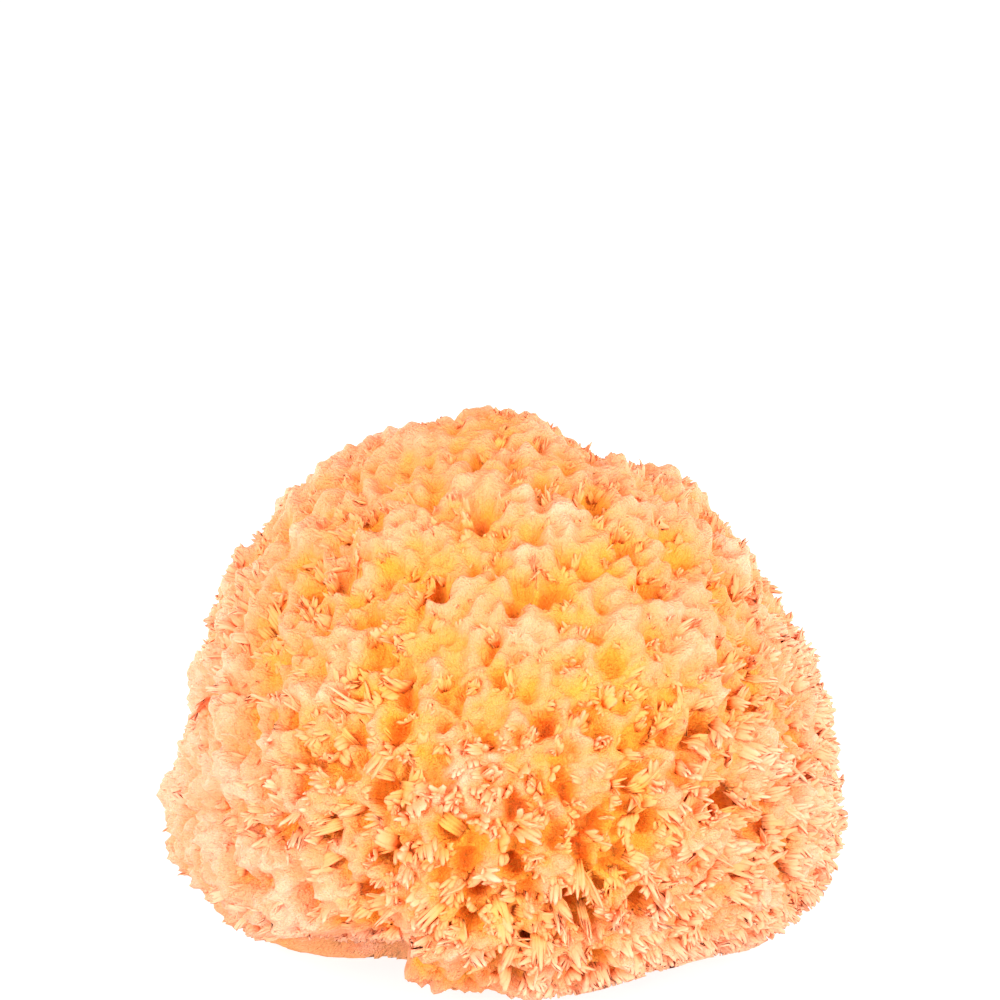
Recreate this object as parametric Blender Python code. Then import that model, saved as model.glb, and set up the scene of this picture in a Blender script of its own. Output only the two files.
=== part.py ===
"""A natural sea sponge: one grown dome of honeycomb pits and ridges, trimmed flat where it was cut from the rock.

Metres, +Z up. The sponge stands on its cut face at z = 0, with its front towards -Y.
"""

import math
from typing import NamedTuple

import bmesh
import bpy
import numpy as np

MM = 0.001

# The dome, measured from its heart, a point low inside it
HEART_HEIGHT = 25.0 * MM
HALF_WIDTH = 75.5 * MM
HALF_DEPTH = 69.0 * MM
RISE_ABOVE_HEART = 86.5 * MM
FALL_BELOW_HEART = 45.0 * MM

# The honeycomb of the surface
PIT_COUNT = 1850
PIT_JITTER = 0.34
PIT_DEPTH = 7.0 * MM
PIT_DEPTH_SPREAD = 2.0 * MM
RIDGE_SPREAD = 2.6 * MM
RIDGE_LEAN = 1.6 * MM
CRUMPLE = 1.1 * MM
POCKET_MARGIN = 2.6 * MM
FOOT_BAND = 6.0 * MM
SNAP_TO_CUT = 0.7 * MM
FLAT_ANGLE = math.radians(0.05)
SEED = 4

# The front as it is seen from a little above
VIEW_TILT = math.radians(20.0)
SHARP_EDGE = math.radians(50.0)

SPONGE_COLOUR = (0.93, 0.52, 0.2, 1.0)
SPONGE_ROUGHNESS = 0.9


class Swell(NamedTuple):
    """A broad bulge (height above 0) or dent (below 0) of the dome, as a bell curve in azimuth and elevation."""

    azimuth: float
    elevation: float
    height: float
    breadth: float
    tallness: float


class Pocket(NamedTuple):
    """A hole deeper than its neighbours, placed across and up from the heart in the tilted front view, in mm."""

    across: float
    up: float
    radius: float
    depth: float


# Angles in degrees seen from the heart, azimuth from +X towards +Y, and heights in mm
SWELLS = (
    Swell(150, 67, 3.5, 10, 9),
    Swell(168, 50, 2.0, 12, 9),
    Swell(95, 83, 4.0, 8, 8),
    Swell(20, 72, -3.5, 8, 8),
    Swell(16, 59, 2.0, 8, 7),
    Swell(8, 46, -1.5, 12, 8),
    Swell(-175, 18, -3.0, 16, 11),
    Swell(178, -2, 2.0, 14, 8),
    Swell(-160, -14, -4.0, 13, 9),
    Swell(-122, -20, -5.0, 9, 9),
    Swell(-130, -32, -14.0, 20, 13),
    Swell(-92, -34, -9.0, 18, 12),
    Swell(-50, -30, -16.0, 18, 13),
    Swell(-60, 48, 2.5, 18, 18),
    Swell(-120, 30, 2.0, 16, 16),
    Swell(-88, 12, -2.0, 16, 16),
    Swell(70, 30, 3.0, 22, 22),
    Swell(125, 5, -4.0, 18, 18),
    Swell(35, -10, 2.0, 16, 16),
    Swell(100, -32, -6.0, 40, 12),
)

POCKETS = (
    Pocket(-3, 68, 1.8, 11),
    Pocket(17, 60, 2.8, 12),
    Pocket(10, 45, 2.2, 11),
    Pocket(4, 44, 2.4, 9),
    Pocket(-37, 46, 2.4, 9),
    Pocket(-31, 48, 2.6, 9),
    Pocket(-25, 33, 2.4, 9),
    Pocket(-12, 45, 1.8, 8),
    Pocket(46, 47, 2.4, 8),
    Pocket(29, 45, 2.2, 7),
    Pocket(24, 53, 2.2, 8),
    Pocket(-10, 27, 1.8, 11),
    Pocket(-22, 19, 1.9, 12),
    Pocket(-26, 8, 2.6, 9),
    Pocket(9, 21, 2.0, 12),
    Pocket(42, 21, 3.0, 9),
    Pocket(13, 9, 2.4, 13),
    Pocket(4, 4, 2.0, 13),
    Pocket(20, 0, 2.2, 13),
    Pocket(19, -6, 2.0, 13),
    Pocket(49, 5, 2.6, 8),
    Pocket(54, -4, 2.4, 8),
    Pocket(32, 1, 2.0, 8),
    Pocket(-43, 8, 1.4, 11),
    Pocket(-42, 14, 2.2, 8),
    Pocket(-47, -2, 2.4, 9),
    Pocket(-37, -1, 2.0, 9),
    Pocket(-12, -1, 2.0, 12),
    Pocket(-25, -7, 2.2, 10),
    Pocket(-9, -9, 2.6, 9),
    Pocket(3, -10, 2.4, 11),
    Pocket(-6, -15, 2.0, 13),
    Pocket(15, -18, 2.4, 13),
    Pocket(-30, -15, 2.4, 10),
    Pocket(-44, -18, 2.6, 9),
    Pocket(32, -18, 2.2, 8),
    Pocket(-30, -24, 2.4, 9),
    Pocket(-38, -24, 1.6, 8),
    Pocket(7, -29, 1.9, 12),
    Pocket(-7, -24, 2.0, 9),
)


def unit(vectors: np.ndarray) -> np.ndarray:
    """Each row divided by its length."""
    return vectors / np.linalg.norm(vectors, axis=1, keepdims=True)


def outer_radius(directions: np.ndarray) -> np.ndarray:
    """Distance from the heart to the tips: an ellipsoid, taller above the heart than below, with its swells."""
    half_height = np.where(directions[:, 2] > 0, RISE_ABOVE_HEART, FALL_BELOW_HEART)
    scaled = directions / np.stack(
        (np.full(len(directions), HALF_WIDTH), np.full(len(directions), HALF_DEPTH), half_height), axis=1
    )
    radius = 1 / np.linalg.norm(scaled, axis=1)
    azimuth = np.degrees(np.arctan2(directions[:, 1], directions[:, 0]))
    elevation = np.degrees(np.arcsin(directions[:, 2]))
    level = np.cos(np.radians(elevation))
    for swell in SWELLS:
        turn = (azimuth - swell.azimuth + 180) % 360 - 180
        off_middle = (turn * level / swell.breadth) ** 2 + ((elevation - swell.elevation) / swell.tallness) ** 2
        radius += swell.height * MM * np.exp(-0.5 * off_middle)
    return radius


def pocket_directions() -> np.ndarray:
    """Unit vectors from the heart towards the pockets, each on the side of the dome that faces the viewer."""
    up_axis = np.array((0.0, math.sin(VIEW_TILT), math.cos(VIEW_TILT)))
    to_viewer = np.array((0.0, -math.cos(VIEW_TILT), math.sin(VIEW_TILT)))
    across = np.array([pocket.across for pocket in POCKETS]) * MM
    up = np.array([pocket.up for pocket in POCKETS]) * MM
    nearer = np.sqrt((1.03 * HALF_WIDTH) ** 2 - across**2 - up**2)
    return unit(across[:, None] * (1.0, 0.0, 0.0) + up[:, None] * up_axis + nearer[:, None] * to_viewer)


def pit_directions(random: np.random.Generator) -> np.ndarray:
    """A golden-angle spiral over the sphere, shaken, with the pockets in place of the pits that they swallow."""
    index = np.arange(PIT_COUNT) + 0.5
    height = 1 - 2 * index / PIT_COUNT
    turn = index * math.pi * (3 - math.sqrt(5))
    ring = np.sqrt(1 - height**2)
    spiral = np.stack((ring * np.cos(turn), ring * np.sin(turn), height), axis=1)
    spacing = math.sqrt(4 * math.pi / PIT_COUNT)
    shaken = unit(spiral + random.normal(0, PIT_JITTER * spacing / 2, spiral.shape))
    pockets = pocket_directions()
    reach = np.array([pocket.radius * MM + POCKET_MARGIN for pocket in POCKETS]) / HALF_WIDTH
    angles = np.arccos(np.clip(shaken @ pockets.T, -1, 1))
    kept = shaken[(angles > reach).all(axis=1)]
    return np.concatenate((kept, pockets))


def honeycomb(directions: np.ndarray) -> bmesh.types.BMesh:
    """A sphere of cells, one about each pit: the pits' triangles are poked, and each first edge turned to part two pits."""
    mesh = bmesh.new()
    for direction in directions:
        mesh.verts.new(direction)
    bmesh.ops.convex_hull(mesh, input=mesh.verts[:])
    between_pits = mesh.edges[:]
    bmesh.ops.poke(mesh, faces=mesh.faces[:])
    bmesh.ops.rotate_edges(mesh, edges=between_pits)
    return mesh


def crumple(directions: np.ndarray) -> np.ndarray:
    """Smooth waves of a few wavelengths, between about -1 and 1, so that the ridges rise and fall in groups."""
    x, y, z = (directions * 9.0).T
    return (np.sin(x + 1.7 * z) + np.sin(1.9 * y - x + 0.6) + np.sin(2.3 * z + y + 2.1)) / 3


def shape_surface(mesh: bmesh.types.BMesh, pit_count: int, random: np.random.Generator) -> None:
    """Sends each vertex out from the heart: pits to their depth, ridges to the tips, leaning away from the front."""
    mesh.verts.index_update()
    directions = unit(np.array([vertex.co[:] for vertex in mesh.verts]))
    outer = outer_radius(directions)
    above_cut = np.clip((outer * directions[:, 2] + HEART_HEIGHT) / FOOT_BAND, 0, 1)
    is_pit = np.arange(len(directions)) < pit_count
    depth = random.normal(PIT_DEPTH, PIT_DEPTH_SPREAD, len(directions))
    depth = np.clip(depth, PIT_DEPTH / 2, 2 * PIT_DEPTH)
    depth[pit_count - len(POCKETS) : pit_count] = [pocket.depth * MM for pocket in POCKETS]
    ridge_drop = random.uniform(0, RIDGE_SPREAD, len(directions))
    relief = CRUMPLE * crumple(directions) - np.where(is_pit, depth, ridge_drop)
    radius = outer + relief * above_cut
    front = np.array((0.0, -1.0, 0.0))
    away = directions - front
    lean = away - directions * np.sum(away * directions, axis=1, keepdims=True)
    points = directions * radius[:, None] + lean * (RIDGE_LEAN * ~is_pit)[:, None]
    to_cut = np.where(points[:, 2] < SNAP_TO_CUT - HEART_HEIGHT, -HEART_HEIGHT / points[:, 2], 1)
    points *= to_cut[:, None]
    points[:, 2] += HEART_HEIGHT
    points[:, :2] -= (points[:, :2].min(axis=0) + points[:, :2].max(axis=0)) / 2
    for vertex, point in zip(mesh.verts, points):
        vertex.co = point


def smooth_cut(mesh: bmesh.types.BMesh) -> None:
    """Joins the triangles that lie in the cut at z = 0 into large flat faces."""
    in_cut = [edge for edge in mesh.edges if all(abs(v.co.z) < 1e-7 for face in edge.link_faces for v in face.verts)]
    corners = [vertex for vertex in mesh.verts if abs(vertex.co.z) < 1e-7]
    bmesh.ops.dissolve_limit(mesh, angle_limit=FLAT_ANGLE, verts=corners, edges=in_cut)
    bmesh.ops.recalc_face_normals(mesh, faces=mesh.faces[:])


def sponge_material() -> bpy.types.Material:
    """Dry honey-orange fibre, quite dull."""
    material = bpy.data.materials.new("sponge_fibre")
    material.use_nodes = True
    shader = material.node_tree.nodes["Principled BSDF"]
    shader.inputs["Base Color"].default_value = SPONGE_COLOUR
    shader.inputs["Roughness"].default_value = SPONGE_ROUGHNESS
    shader.inputs["Metallic"].default_value = 0.0
    return material


def build_sponge() -> bpy.types.Object:
    """The whole sponge as one object."""
    random = np.random.default_rng(SEED)
    directions = pit_directions(random)
    cells = honeycomb(directions)
    shape_surface(cells, len(directions), random)
    smooth_cut(cells)
    data = bpy.data.meshes.new("sponge")
    cells.to_mesh(data)
    cells.free()
    data.materials.append(sponge_material())
    data.shade_smooth()
    data.set_sharp_from_angle(angle=SHARP_EDGE)
    sponge = bpy.data.objects.new("sponge", data)
    bpy.context.scene.collection.objects.link(sponge)
    return sponge


for leftover in list(bpy.data.objects):
    bpy.data.objects.remove(leftover, do_unlink=True)
build_sponge()
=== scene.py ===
"""A natural sea sponge, dressed: a porous body, and frayed lobes of fused fibre on its pore walls."""

import logging
import math
from collections.abc import Iterator
from dataclasses import dataclass, field
from enum import Enum
from typing import NamedTuple

import bpy
import numpy as np
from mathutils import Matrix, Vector


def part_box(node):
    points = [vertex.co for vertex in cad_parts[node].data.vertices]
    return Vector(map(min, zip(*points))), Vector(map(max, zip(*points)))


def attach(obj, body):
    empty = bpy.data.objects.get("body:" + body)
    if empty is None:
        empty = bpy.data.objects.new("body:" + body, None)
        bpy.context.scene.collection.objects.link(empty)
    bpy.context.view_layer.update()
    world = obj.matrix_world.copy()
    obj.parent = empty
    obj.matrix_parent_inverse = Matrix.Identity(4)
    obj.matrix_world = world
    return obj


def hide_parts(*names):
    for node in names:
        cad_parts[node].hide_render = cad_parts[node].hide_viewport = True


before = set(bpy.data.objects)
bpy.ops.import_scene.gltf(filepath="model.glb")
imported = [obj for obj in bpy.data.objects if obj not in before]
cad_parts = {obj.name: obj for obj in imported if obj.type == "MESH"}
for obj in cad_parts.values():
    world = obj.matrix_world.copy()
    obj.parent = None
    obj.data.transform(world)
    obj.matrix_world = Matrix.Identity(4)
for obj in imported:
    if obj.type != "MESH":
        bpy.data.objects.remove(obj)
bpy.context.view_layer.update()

log = logging.getLogger("sea_sponge")

MM = 0.001
NODE = "sponge"
BODY = "root"
GOLDEN_ANGLE = math.pi * (3 - math.sqrt(5))
# The middle of noise, of a piece's tone and of a lobe's breadth, which all run from 0 to 1
MIDDLE = 0.5
ROWS_AT_ONCE = 4096


class Swell(NamedTuple):
    """A broad bulge, or a dent where its height is below 0, as a bell curve in azimuth and elevation."""

    azimuth: float
    elevation: float
    height: float
    breadth: float
    tallness: float


class Pocket(NamedTuple):
    """A hole deeper than its neighbours, in mm across and up from the heart in the tilted front view."""

    across: float
    up: float
    radius: float
    depth: float


# Angles in degrees seen from the heart, azimuth from +X towards +Y, and heights in mm
SWELLS = (
    Swell(150, 67, 3.5, 10, 9),
    Swell(168, 50, 2.0, 12, 9),
    Swell(95, 83, 4.0, 8, 8),
    Swell(20, 72, -3.5, 8, 8),
    Swell(16, 59, 2.0, 8, 7),
    Swell(8, 46, -1.5, 12, 8),
    Swell(-175, 18, -3.0, 16, 11),
    Swell(178, -2, 2.0, 14, 8),
    Swell(-160, -14, -4.0, 13, 9),
    Swell(-122, -20, -5.0, 9, 9),
    Swell(-130, -32, -14.0, 20, 13),
    Swell(-92, -34, -9.0, 18, 12),
    Swell(-50, -30, -16.0, 18, 13),
    Swell(-60, 48, 2.5, 18, 18),
    Swell(-120, 30, 2.0, 16, 16),
    Swell(-88, 12, -2.0, 16, 16),
    Swell(70, 30, 3.0, 22, 22),
    Swell(125, 5, -4.0, 18, 18),
    Swell(35, -10, 2.0, 16, 16),
    Swell(100, -32, -6.0, 40, 12),
)

POCKETS = (
    Pocket(-3, 68, 1.8, 11),
    Pocket(17, 60, 2.8, 12),
    Pocket(10, 45, 2.2, 11),
    Pocket(4, 44, 2.4, 9),
    Pocket(-37, 46, 2.4, 9),
    Pocket(-31, 48, 2.6, 9),
    Pocket(-25, 33, 2.4, 9),
    Pocket(-12, 45, 1.8, 8),
    Pocket(46, 47, 2.4, 8),
    Pocket(29, 45, 2.2, 7),
    Pocket(24, 53, 2.2, 8),
    Pocket(-10, 27, 1.8, 11),
    Pocket(-22, 19, 1.9, 12),
    Pocket(-26, 8, 2.6, 9),
    Pocket(9, 21, 2.0, 12),
    Pocket(42, 21, 3.0, 9),
    Pocket(13, 9, 2.4, 13),
    Pocket(4, 4, 2.0, 13),
    Pocket(20, 0, 2.2, 13),
    Pocket(19, -6, 2.0, 13),
    Pocket(49, 5, 2.6, 8),
    Pocket(54, -4, 2.4, 8),
    Pocket(32, 1, 2.0, 8),
    Pocket(-43, 8, 1.4, 11),
    Pocket(-42, 14, 2.2, 8),
    Pocket(-47, -2, 2.4, 9),
    Pocket(-37, -1, 2.0, 9),
    Pocket(-12, -1, 2.0, 12),
    Pocket(-25, -7, 2.2, 10),
    Pocket(-9, -9, 2.6, 9),
    Pocket(3, -10, 2.4, 11),
    Pocket(-6, -15, 2.0, 13),
    Pocket(15, -18, 2.4, 13),
    Pocket(-30, -15, 2.4, 10),
    Pocket(-44, -18, 2.6, 9),
    Pocket(32, -18, 2.2, 8),
    Pocket(-30, -24, 2.4, 9),
    Pocket(-38, -24, 1.6, 8),
    Pocket(7, -29, 1.9, 12),
    Pocket(-7, -24, 2.0, 9),
)


def unit(vectors: np.ndarray) -> np.ndarray:
    """Vectors along the last axis, each divided by its length."""
    return vectors / np.linalg.norm(vectors, axis=-1, keepdims=True)


def dot(first: np.ndarray, second: np.ndarray) -> np.ndarray:
    """Dot products along the last axis, which is kept with length 1."""
    return np.sum(first * second, axis=-1, keepdims=True)


def across_surface(vectors: np.ndarray, normals: np.ndarray) -> np.ndarray:
    """The part of each vector that lies in the plane square to its unit normal."""
    return vectors - normals * dot(vectors, normals)


def smooth_step(low: float, high: float, values: np.ndarray) -> np.ndarray:
    """0 below low, 1 above high and the curve 3t^2 - 2t^3 between them."""
    t = np.clip((values - low) / (high - low), 0, 1)
    return t * t * (3 - 2 * t)


def from_angles(azimuth: float, elevation: float) -> np.ndarray:
    """The unit vector at an azimuth and an elevation in degrees."""
    a, e = math.radians(azimuth), math.radians(elevation)
    return np.array((math.cos(a) * math.cos(e), math.sin(a) * math.cos(e), math.sin(e)))


# Middles of the front, of the top with painted shade, of the calm felt low at the left, which also gets
# painted light, and of the right flank with painted light
FRONT_POLE = from_angles(-85.0, 22.0)
SHADED_TOP_POLE = from_angles(-85.0, 52.0)
CALM_POLE = from_angles(-160.0, -8.0)
RIGHT_POLE = from_angles(-10.0, 10.0)


def golden_spiral(count: int) -> np.ndarray:
    """Evenly spread directions over the sphere.

    Args:
        count: how many directions.

    Returns:
        Unit vectors, each a golden angle round and an equal step down from the one before.
    """
    index = np.arange(count) + 0.5
    height = 1 - 2 * index / count
    ring = np.sqrt(1 - height**2)
    turn = index * GOLDEN_ANGLE
    return np.stack((ring * np.cos(turn), ring * np.sin(turn), height), axis=1)


def spiral_spacing(count: int) -> float:
    """The mean angle between neighbours on a golden spiral of so many directions, in radians."""
    return math.sqrt(4 * math.pi / count)


def azimuth_of(directions: np.ndarray) -> np.ndarray:
    """The azimuths of directions along the last axis, in degrees from -180 to 180."""
    return np.degrees(np.arctan2(directions[..., 1], directions[..., 0]))


def chunks(count: int) -> Iterator[slice]:
    """Slices that part so many rows into runs small enough for the memory."""
    return (slice(start, start + ROWS_AT_ONCE) for start in range(0, count, ROWS_AT_ONCE))


@dataclass(frozen=True)
class Crumple:
    """Smooth noise made of plane waves that run in random directions."""

    wavelength: float
    seed: int
    height: float = 1.0
    waves: int = 18
    length_range: tuple[float, float] = (0.75, 1.35)

    def at(self, points: np.ndarray) -> np.ndarray:
        """The noise at some points.

        Args:
            points: positions in metres, along the last axis.

        Returns:
            The sum of sines of the distance along each wave's direction, with a spread of about the height.
        """
        random = np.random.default_rng(self.seed)
        directions = unit(random.normal(size=(self.waves, 3)))
        pace = 2 * math.pi / (self.wavelength * random.uniform(*self.length_range, self.waves))
        phase = random.uniform(0, 2 * math.pi, self.waves)
        swings = np.sin(points @ (directions * pace[:, None]).T + phase)
        return self.height * (swings.sum(axis=-1) * math.sqrt(2 / self.waves))


@dataclass(frozen=True)
class GrowthForm:
    """The sponge's outer form and its pores, as distances and directions from its heart, a point low inside.

    The form and the pits, with their random draws, are the CAD solid's own, apart from the cut at the foot.
    A fade is the range over which a share goes from 0 to 1: of azimuths for the trimmed band, and of cosines
    of the angle to a pole or to the upright for all others.
    """

    heart_height: float = 25.0 * MM
    half_width: float = 75.5 * MM
    half_depth: float = 69.0 * MM
    rise_above_heart: float = 86.5 * MM
    fall_below_heart: float = 45.0 * MM
    pit_count: int = 1850
    pit_jitter: float = 0.34
    pocket_margin: float = 2.6 * MM
    pocket_bulge: float = 1.03
    view_tilt: float = math.radians(20.0)
    band_broad: float = 5.5 * MM
    band_narrow: float = 2.0 * MM
    band_start_fade: tuple[float, float] = (-175.0, -155.0)
    band_end_fade: tuple[float, float] = (-85.0, -60.0)
    bare_rise: float = 12.0 * MM
    bare_azimuth: float = -101.0
    bare_breadth: float = 9.0
    wall_ahead: float = 24.5 * MM
    wall_height: float = 4.5 * MM
    wall_lean: float = 1.9
    wall_waver: Crumple = Crumple(9.0 * MM, 10, 0.8 * MM)
    waver_upright: float = 0.4
    least_slant: float = 1e-3
    step_left: float = -18.5 * MM
    step_right: float = -14.5 * MM
    florets: Crumple = Crumple(17.0 * MM, 7)
    floret_depth: float = 2.0 * MM
    floret_dip: float = 1.2
    open_share: float = 0.24
    open_share_in_front: float = 0.2
    front_fade: tuple[float, float] = (0.3, 0.95)
    top_shade_most: float = 0.22
    top_shade_fade: tuple[float, float] = (0.35, 0.95)
    right_light_most: float = 0.13
    right_light_fade: tuple[float, float] = (0.5, 0.95)
    low_left_light_most: float = 0.2
    molten_fade: tuple[float, float] = (0.5, 0.9)
    molten_calm: float = 0.9
    top_fade: tuple[float, float] = (0.32, 0.86)
    islands: Crumple = Crumple(24.0 * MM, 11, 0.22)
    sample_count: int = 20000
    pit_seed: int = 4
    open_seed: int = 9
    pits: np.ndarray = field(init=False, repr=False)
    centre_shift: np.ndarray = field(init=False, repr=False)

    def __post_init__(self) -> None:
        """Places the pits, and the shift that centres the form on the CAD solid's box."""
        object.__setattr__(self, "pits", self._pit_directions())
        object.__setattr__(self, "centre_shift", np.zeros(3))
        tips = self.place(golden_spiral(self.sample_count), 0.0)
        low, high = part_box(NODE)
        shift = (np.array(low) + np.array(high)) / 2 - (tips.min(axis=0) + tips.max(axis=0)) / 2
        object.__setattr__(self, "centre_shift", shift * (1, 1, 0))

    def pocket_directions(self) -> np.ndarray:
        """The way to each pocket.

        Returns:
            Unit vectors from the heart, each on the side of the dome that faces the viewer.
        """
        up_axis = np.array((0.0, math.sin(self.view_tilt), math.cos(self.view_tilt)))
        to_viewer = np.array((0.0, -math.cos(self.view_tilt), math.sin(self.view_tilt)))
        across = np.array([pocket.across for pocket in POCKETS]) * MM
        up = np.array([pocket.up for pocket in POCKETS]) * MM
        nearer = np.sqrt((self.pocket_bulge * self.half_width) ** 2 - across**2 - up**2)
        return unit(across[:, None] * (1.0, 0.0, 0.0) + up[:, None] * up_axis + nearer[:, None] * to_viewer)

    def _pit_directions(self) -> np.ndarray:
        """Where the pits are.

        Returns:
            A shaken golden spiral of unit vectors, with the pockets in place of the pits that they swallow.
        """
        random = np.random.default_rng(self.pit_seed)
        spiral = golden_spiral(self.pit_count)
        spacing = spiral_spacing(self.pit_count)
        shaken = unit(spiral + random.normal(0, self.pit_jitter * spacing / 2, spiral.shape))
        pockets = self.pocket_directions()
        reach = np.array([pocket.radius * MM + self.pocket_margin for pocket in POCKETS]) / self.half_width
        angles = np.arccos(np.clip(shaken @ pockets.T, -1, 1))
        return np.concatenate((shaken[(angles > reach).all(axis=1)], pockets))

    def outer_radius(self, directions: np.ndarray) -> np.ndarray:
        """Distance from the heart to the tips.

        Args:
            directions: unit vectors, along the last axis.

        Returns:
            The radius of an ellipsoid that is taller above the heart than below it, plus every swell's
            bell curve.
        """
        half_height = np.where(directions[..., 2] > 0, self.rise_above_heart, self.fall_below_heart)
        x = directions[..., 0] / self.half_width
        y = directions[..., 1] / self.half_depth
        radius = 1 / np.sqrt(x**2 + y**2 + (directions[..., 2] / half_height) ** 2)
        azimuth = azimuth_of(directions)
        elevation = np.degrees(np.arcsin(np.clip(directions[..., 2], -1, 1)))
        level = np.cos(np.radians(elevation))
        for swell in SWELLS:
            turn = (azimuth - swell.azimuth + 180) % 360 - 180
            sideways = turn * level / swell.breadth
            upwards = (elevation - swell.elevation) / swell.tallness
            radius = radius + swell.height * MM * np.exp(-0.5 * (sideways**2 + upwards**2))
        return self._cut_back(directions, radius)

    def _cut_back(self, directions: np.ndarray, radius: np.ndarray) -> np.ndarray:
        """Cuts the foot's front left back to a low wall, with a slope above it that leans out over the wall.

        Args:
            directions: unit vectors from the heart.
            radius: the form's radius in each direction.

        Returns:
            The radius, held to the further one of the wall's plane and the slope's, up to the step at the
            foot's middle.
        """
        ahead = -directions[..., 1]
        stretched = directions * (1.0, 1.0, self.waver_upright) * self.half_width
        wall_ahead = self.wall_ahead + self.wall_waver.at(stretched)
        wall = wall_ahead / np.maximum(ahead, self.least_slant)
        slope_reach = wall_ahead + self.wall_lean * (self.heart_height - self.wall_height)
        slope = slope_reach / np.maximum(ahead - self.wall_lean * directions[..., 2], self.least_slant)
        limit = np.maximum(wall, slope)
        left_of_step = 1 - smooth_step(self.step_left, self.step_right, directions[..., 0] * limit)
        return radius + (np.minimum(radius, limit) - radius) * left_of_step

    def place(self, directions: np.ndarray, depth: np.ndarray | float) -> np.ndarray:
        """Points a depth under the tips, in the object's frame, those below the foot drawn up onto z = 0.

        Args:
            directions: unit vectors from the heart.
            depth: distance under the outer form, in metres.

        Returns:
            One point for each direction.
        """
        radius = self.outer_radius(directions) - depth
        return self.trim(directions * radius[..., None])

    def open_pits(self) -> np.ndarray:
        """Which pits the coat leaves open.

        Returns:
            True for every pocket and for some of the other pits, more of them at the front than elsewhere.
        """
        random = np.random.default_rng(self.open_seed)
        in_front = smooth_step(*self.front_fade, self.pits @ FRONT_POLE)
        chosen = random.uniform(size=len(self.pits)) < self.open_share + self.open_share_in_front * in_front
        chosen[-len(POCKETS) :] = True
        return chosen

    def painted_side_shade(self, directions: np.ndarray) -> np.ndarray:
        """How much painted shade deepens the colour on top, and how much painted light pales it at both
        flanks.

        Args:
            directions: unit vectors from the heart.

        Returns:
            Above 0 where painted shade deepens it and below 0 where painted light pales it, in parts of the
            fibre's whole range.
        """
        shade_on_top = self.top_shade_most * smooth_step(*self.top_shade_fade, directions @ SHADED_TOP_POLE)
        flank_light = self.right_light_most * smooth_step(*self.right_light_fade, directions @ RIGHT_POLE)
        # Painted shade on top, painted light at the right flank and low at the left
        return shade_on_top - (flank_light + self.low_left_light_most * self.molten(directions))

    def molten(self, directions: np.ndarray) -> np.ndarray:
        """How fused the felt is, from 0 elsewhere to 1 low at the left."""
        return smooth_step(*self.molten_fade, directions @ CALM_POLE)

    def calm(self, directions: np.ndarray) -> np.ndarray:
        """How smooth the felt is.

        Args:
            directions: unit vectors from the heart.

        Returns:
            From 0 where the rims of the pores are frayed to 1 at the top and low at the left.
        """
        top = smooth_step(*self.top_fade, directions[..., 2])
        smooth = np.maximum(top, self.molten_calm * self.molten(directions))
        return np.clip(smooth + self.islands.at(directions * self.half_width), 0, 1)

    def hollow(self, directions: np.ndarray) -> np.ndarray:
        """How far the tips stand under the outer form between the sponge's broad florets, in metres."""
        lumps = np.clip(self.florets.at(directions * self.half_width), -self.floret_dip, 1)
        return self.floret_depth * (1 - lumps) / 2

    def trim(self, from_heart: np.ndarray) -> np.ndarray:
        """Draws points below the cut up to it along their rays, and leaves the heart's frame.

        Args:
            from_heart: points as seen from the heart.

        Returns:
            The points in the object's frame.
        """
        below = from_heart[..., 2] < -self.heart_height
        scale = np.where(below, -self.heart_height / np.where(below, from_heart[..., 2], 1), 1)
        return from_heart * scale[..., None] + (0, 0, self.heart_height) + self.centre_shift

    def from_heart(self, points: np.ndarray) -> np.ndarray:
        """Points of the object's frame, seen from the heart."""
        return points - (0, 0, self.heart_height) - self.centre_shift

    def band_height(self, directions: np.ndarray) -> np.ndarray:
        """How high the trimmed band at the foot is, which is broad at the front left and narrow elsewhere.

        Args:
            directions: unit vectors from the heart.

        Returns:
            Heights above the floor, in metres.
        """
        azimuth = azimuth_of(directions)
        broad = smooth_step(*self.band_start_fade, azimuth) * (1 - smooth_step(*self.band_end_fade, azimuth))
        return self.band_narrow + (self.band_broad - self.band_narrow) * broad

    def bare_height(self, directions: np.ndarray) -> np.ndarray:
        """How high the foot is bare of lobes.

        Args:
            directions: unit vectors from the heart.

        Returns:
            The height of the trimmed band, with a bell-shaped bare patch over it near the front, in metres.
        """
        off_middle = (azimuth_of(directions) - self.bare_azimuth) / self.bare_breadth
        return self.band_height(directions) + self.bare_rise * np.exp(-0.5 * off_middle**2)

    def nearest_pits(self, directions: np.ndarray) -> tuple[np.ndarray, np.ndarray, np.ndarray]:
        """The two pits nearest to each direction, and how close it is to the wall between them.

        Args:
            directions: unit vectors, one a row.

        Returns:
            The nearest pit's index, the next one's, and the wall distance: half the difference of the two
            angles, in radians, so 0 on the wall itself.
        """
        first = np.empty(len(directions), int)
        second = np.empty(len(directions), int)
        gap = np.empty(len(directions))
        for rows in chunks(len(directions)):
            closeness = directions[rows] @ self.pits.T
            line = np.arange(len(closeness))
            first[rows] = closeness.argmax(axis=1)
            nearest = closeness[line, first[rows]]
            closeness[line, first[rows]] = -np.inf
            second[rows] = closeness.argmax(axis=1)
            angles = np.arccos(np.clip((nearest, closeness[line, second[rows]]), -1, 1))
            gap[rows] = (angles[1] - angles[0]) / 2
        return first, second, gap


class Attribute(Enum):
    """The values that a mesh carries for its material."""

    # Painted shade and painted light, from 0 to 1: by depth in the pores, by the fibre over a point and by
    # side
    DEPTH = "depth"
    TONE = "tone"
    ACROSS = "across"
    CUT = "cut"


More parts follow.
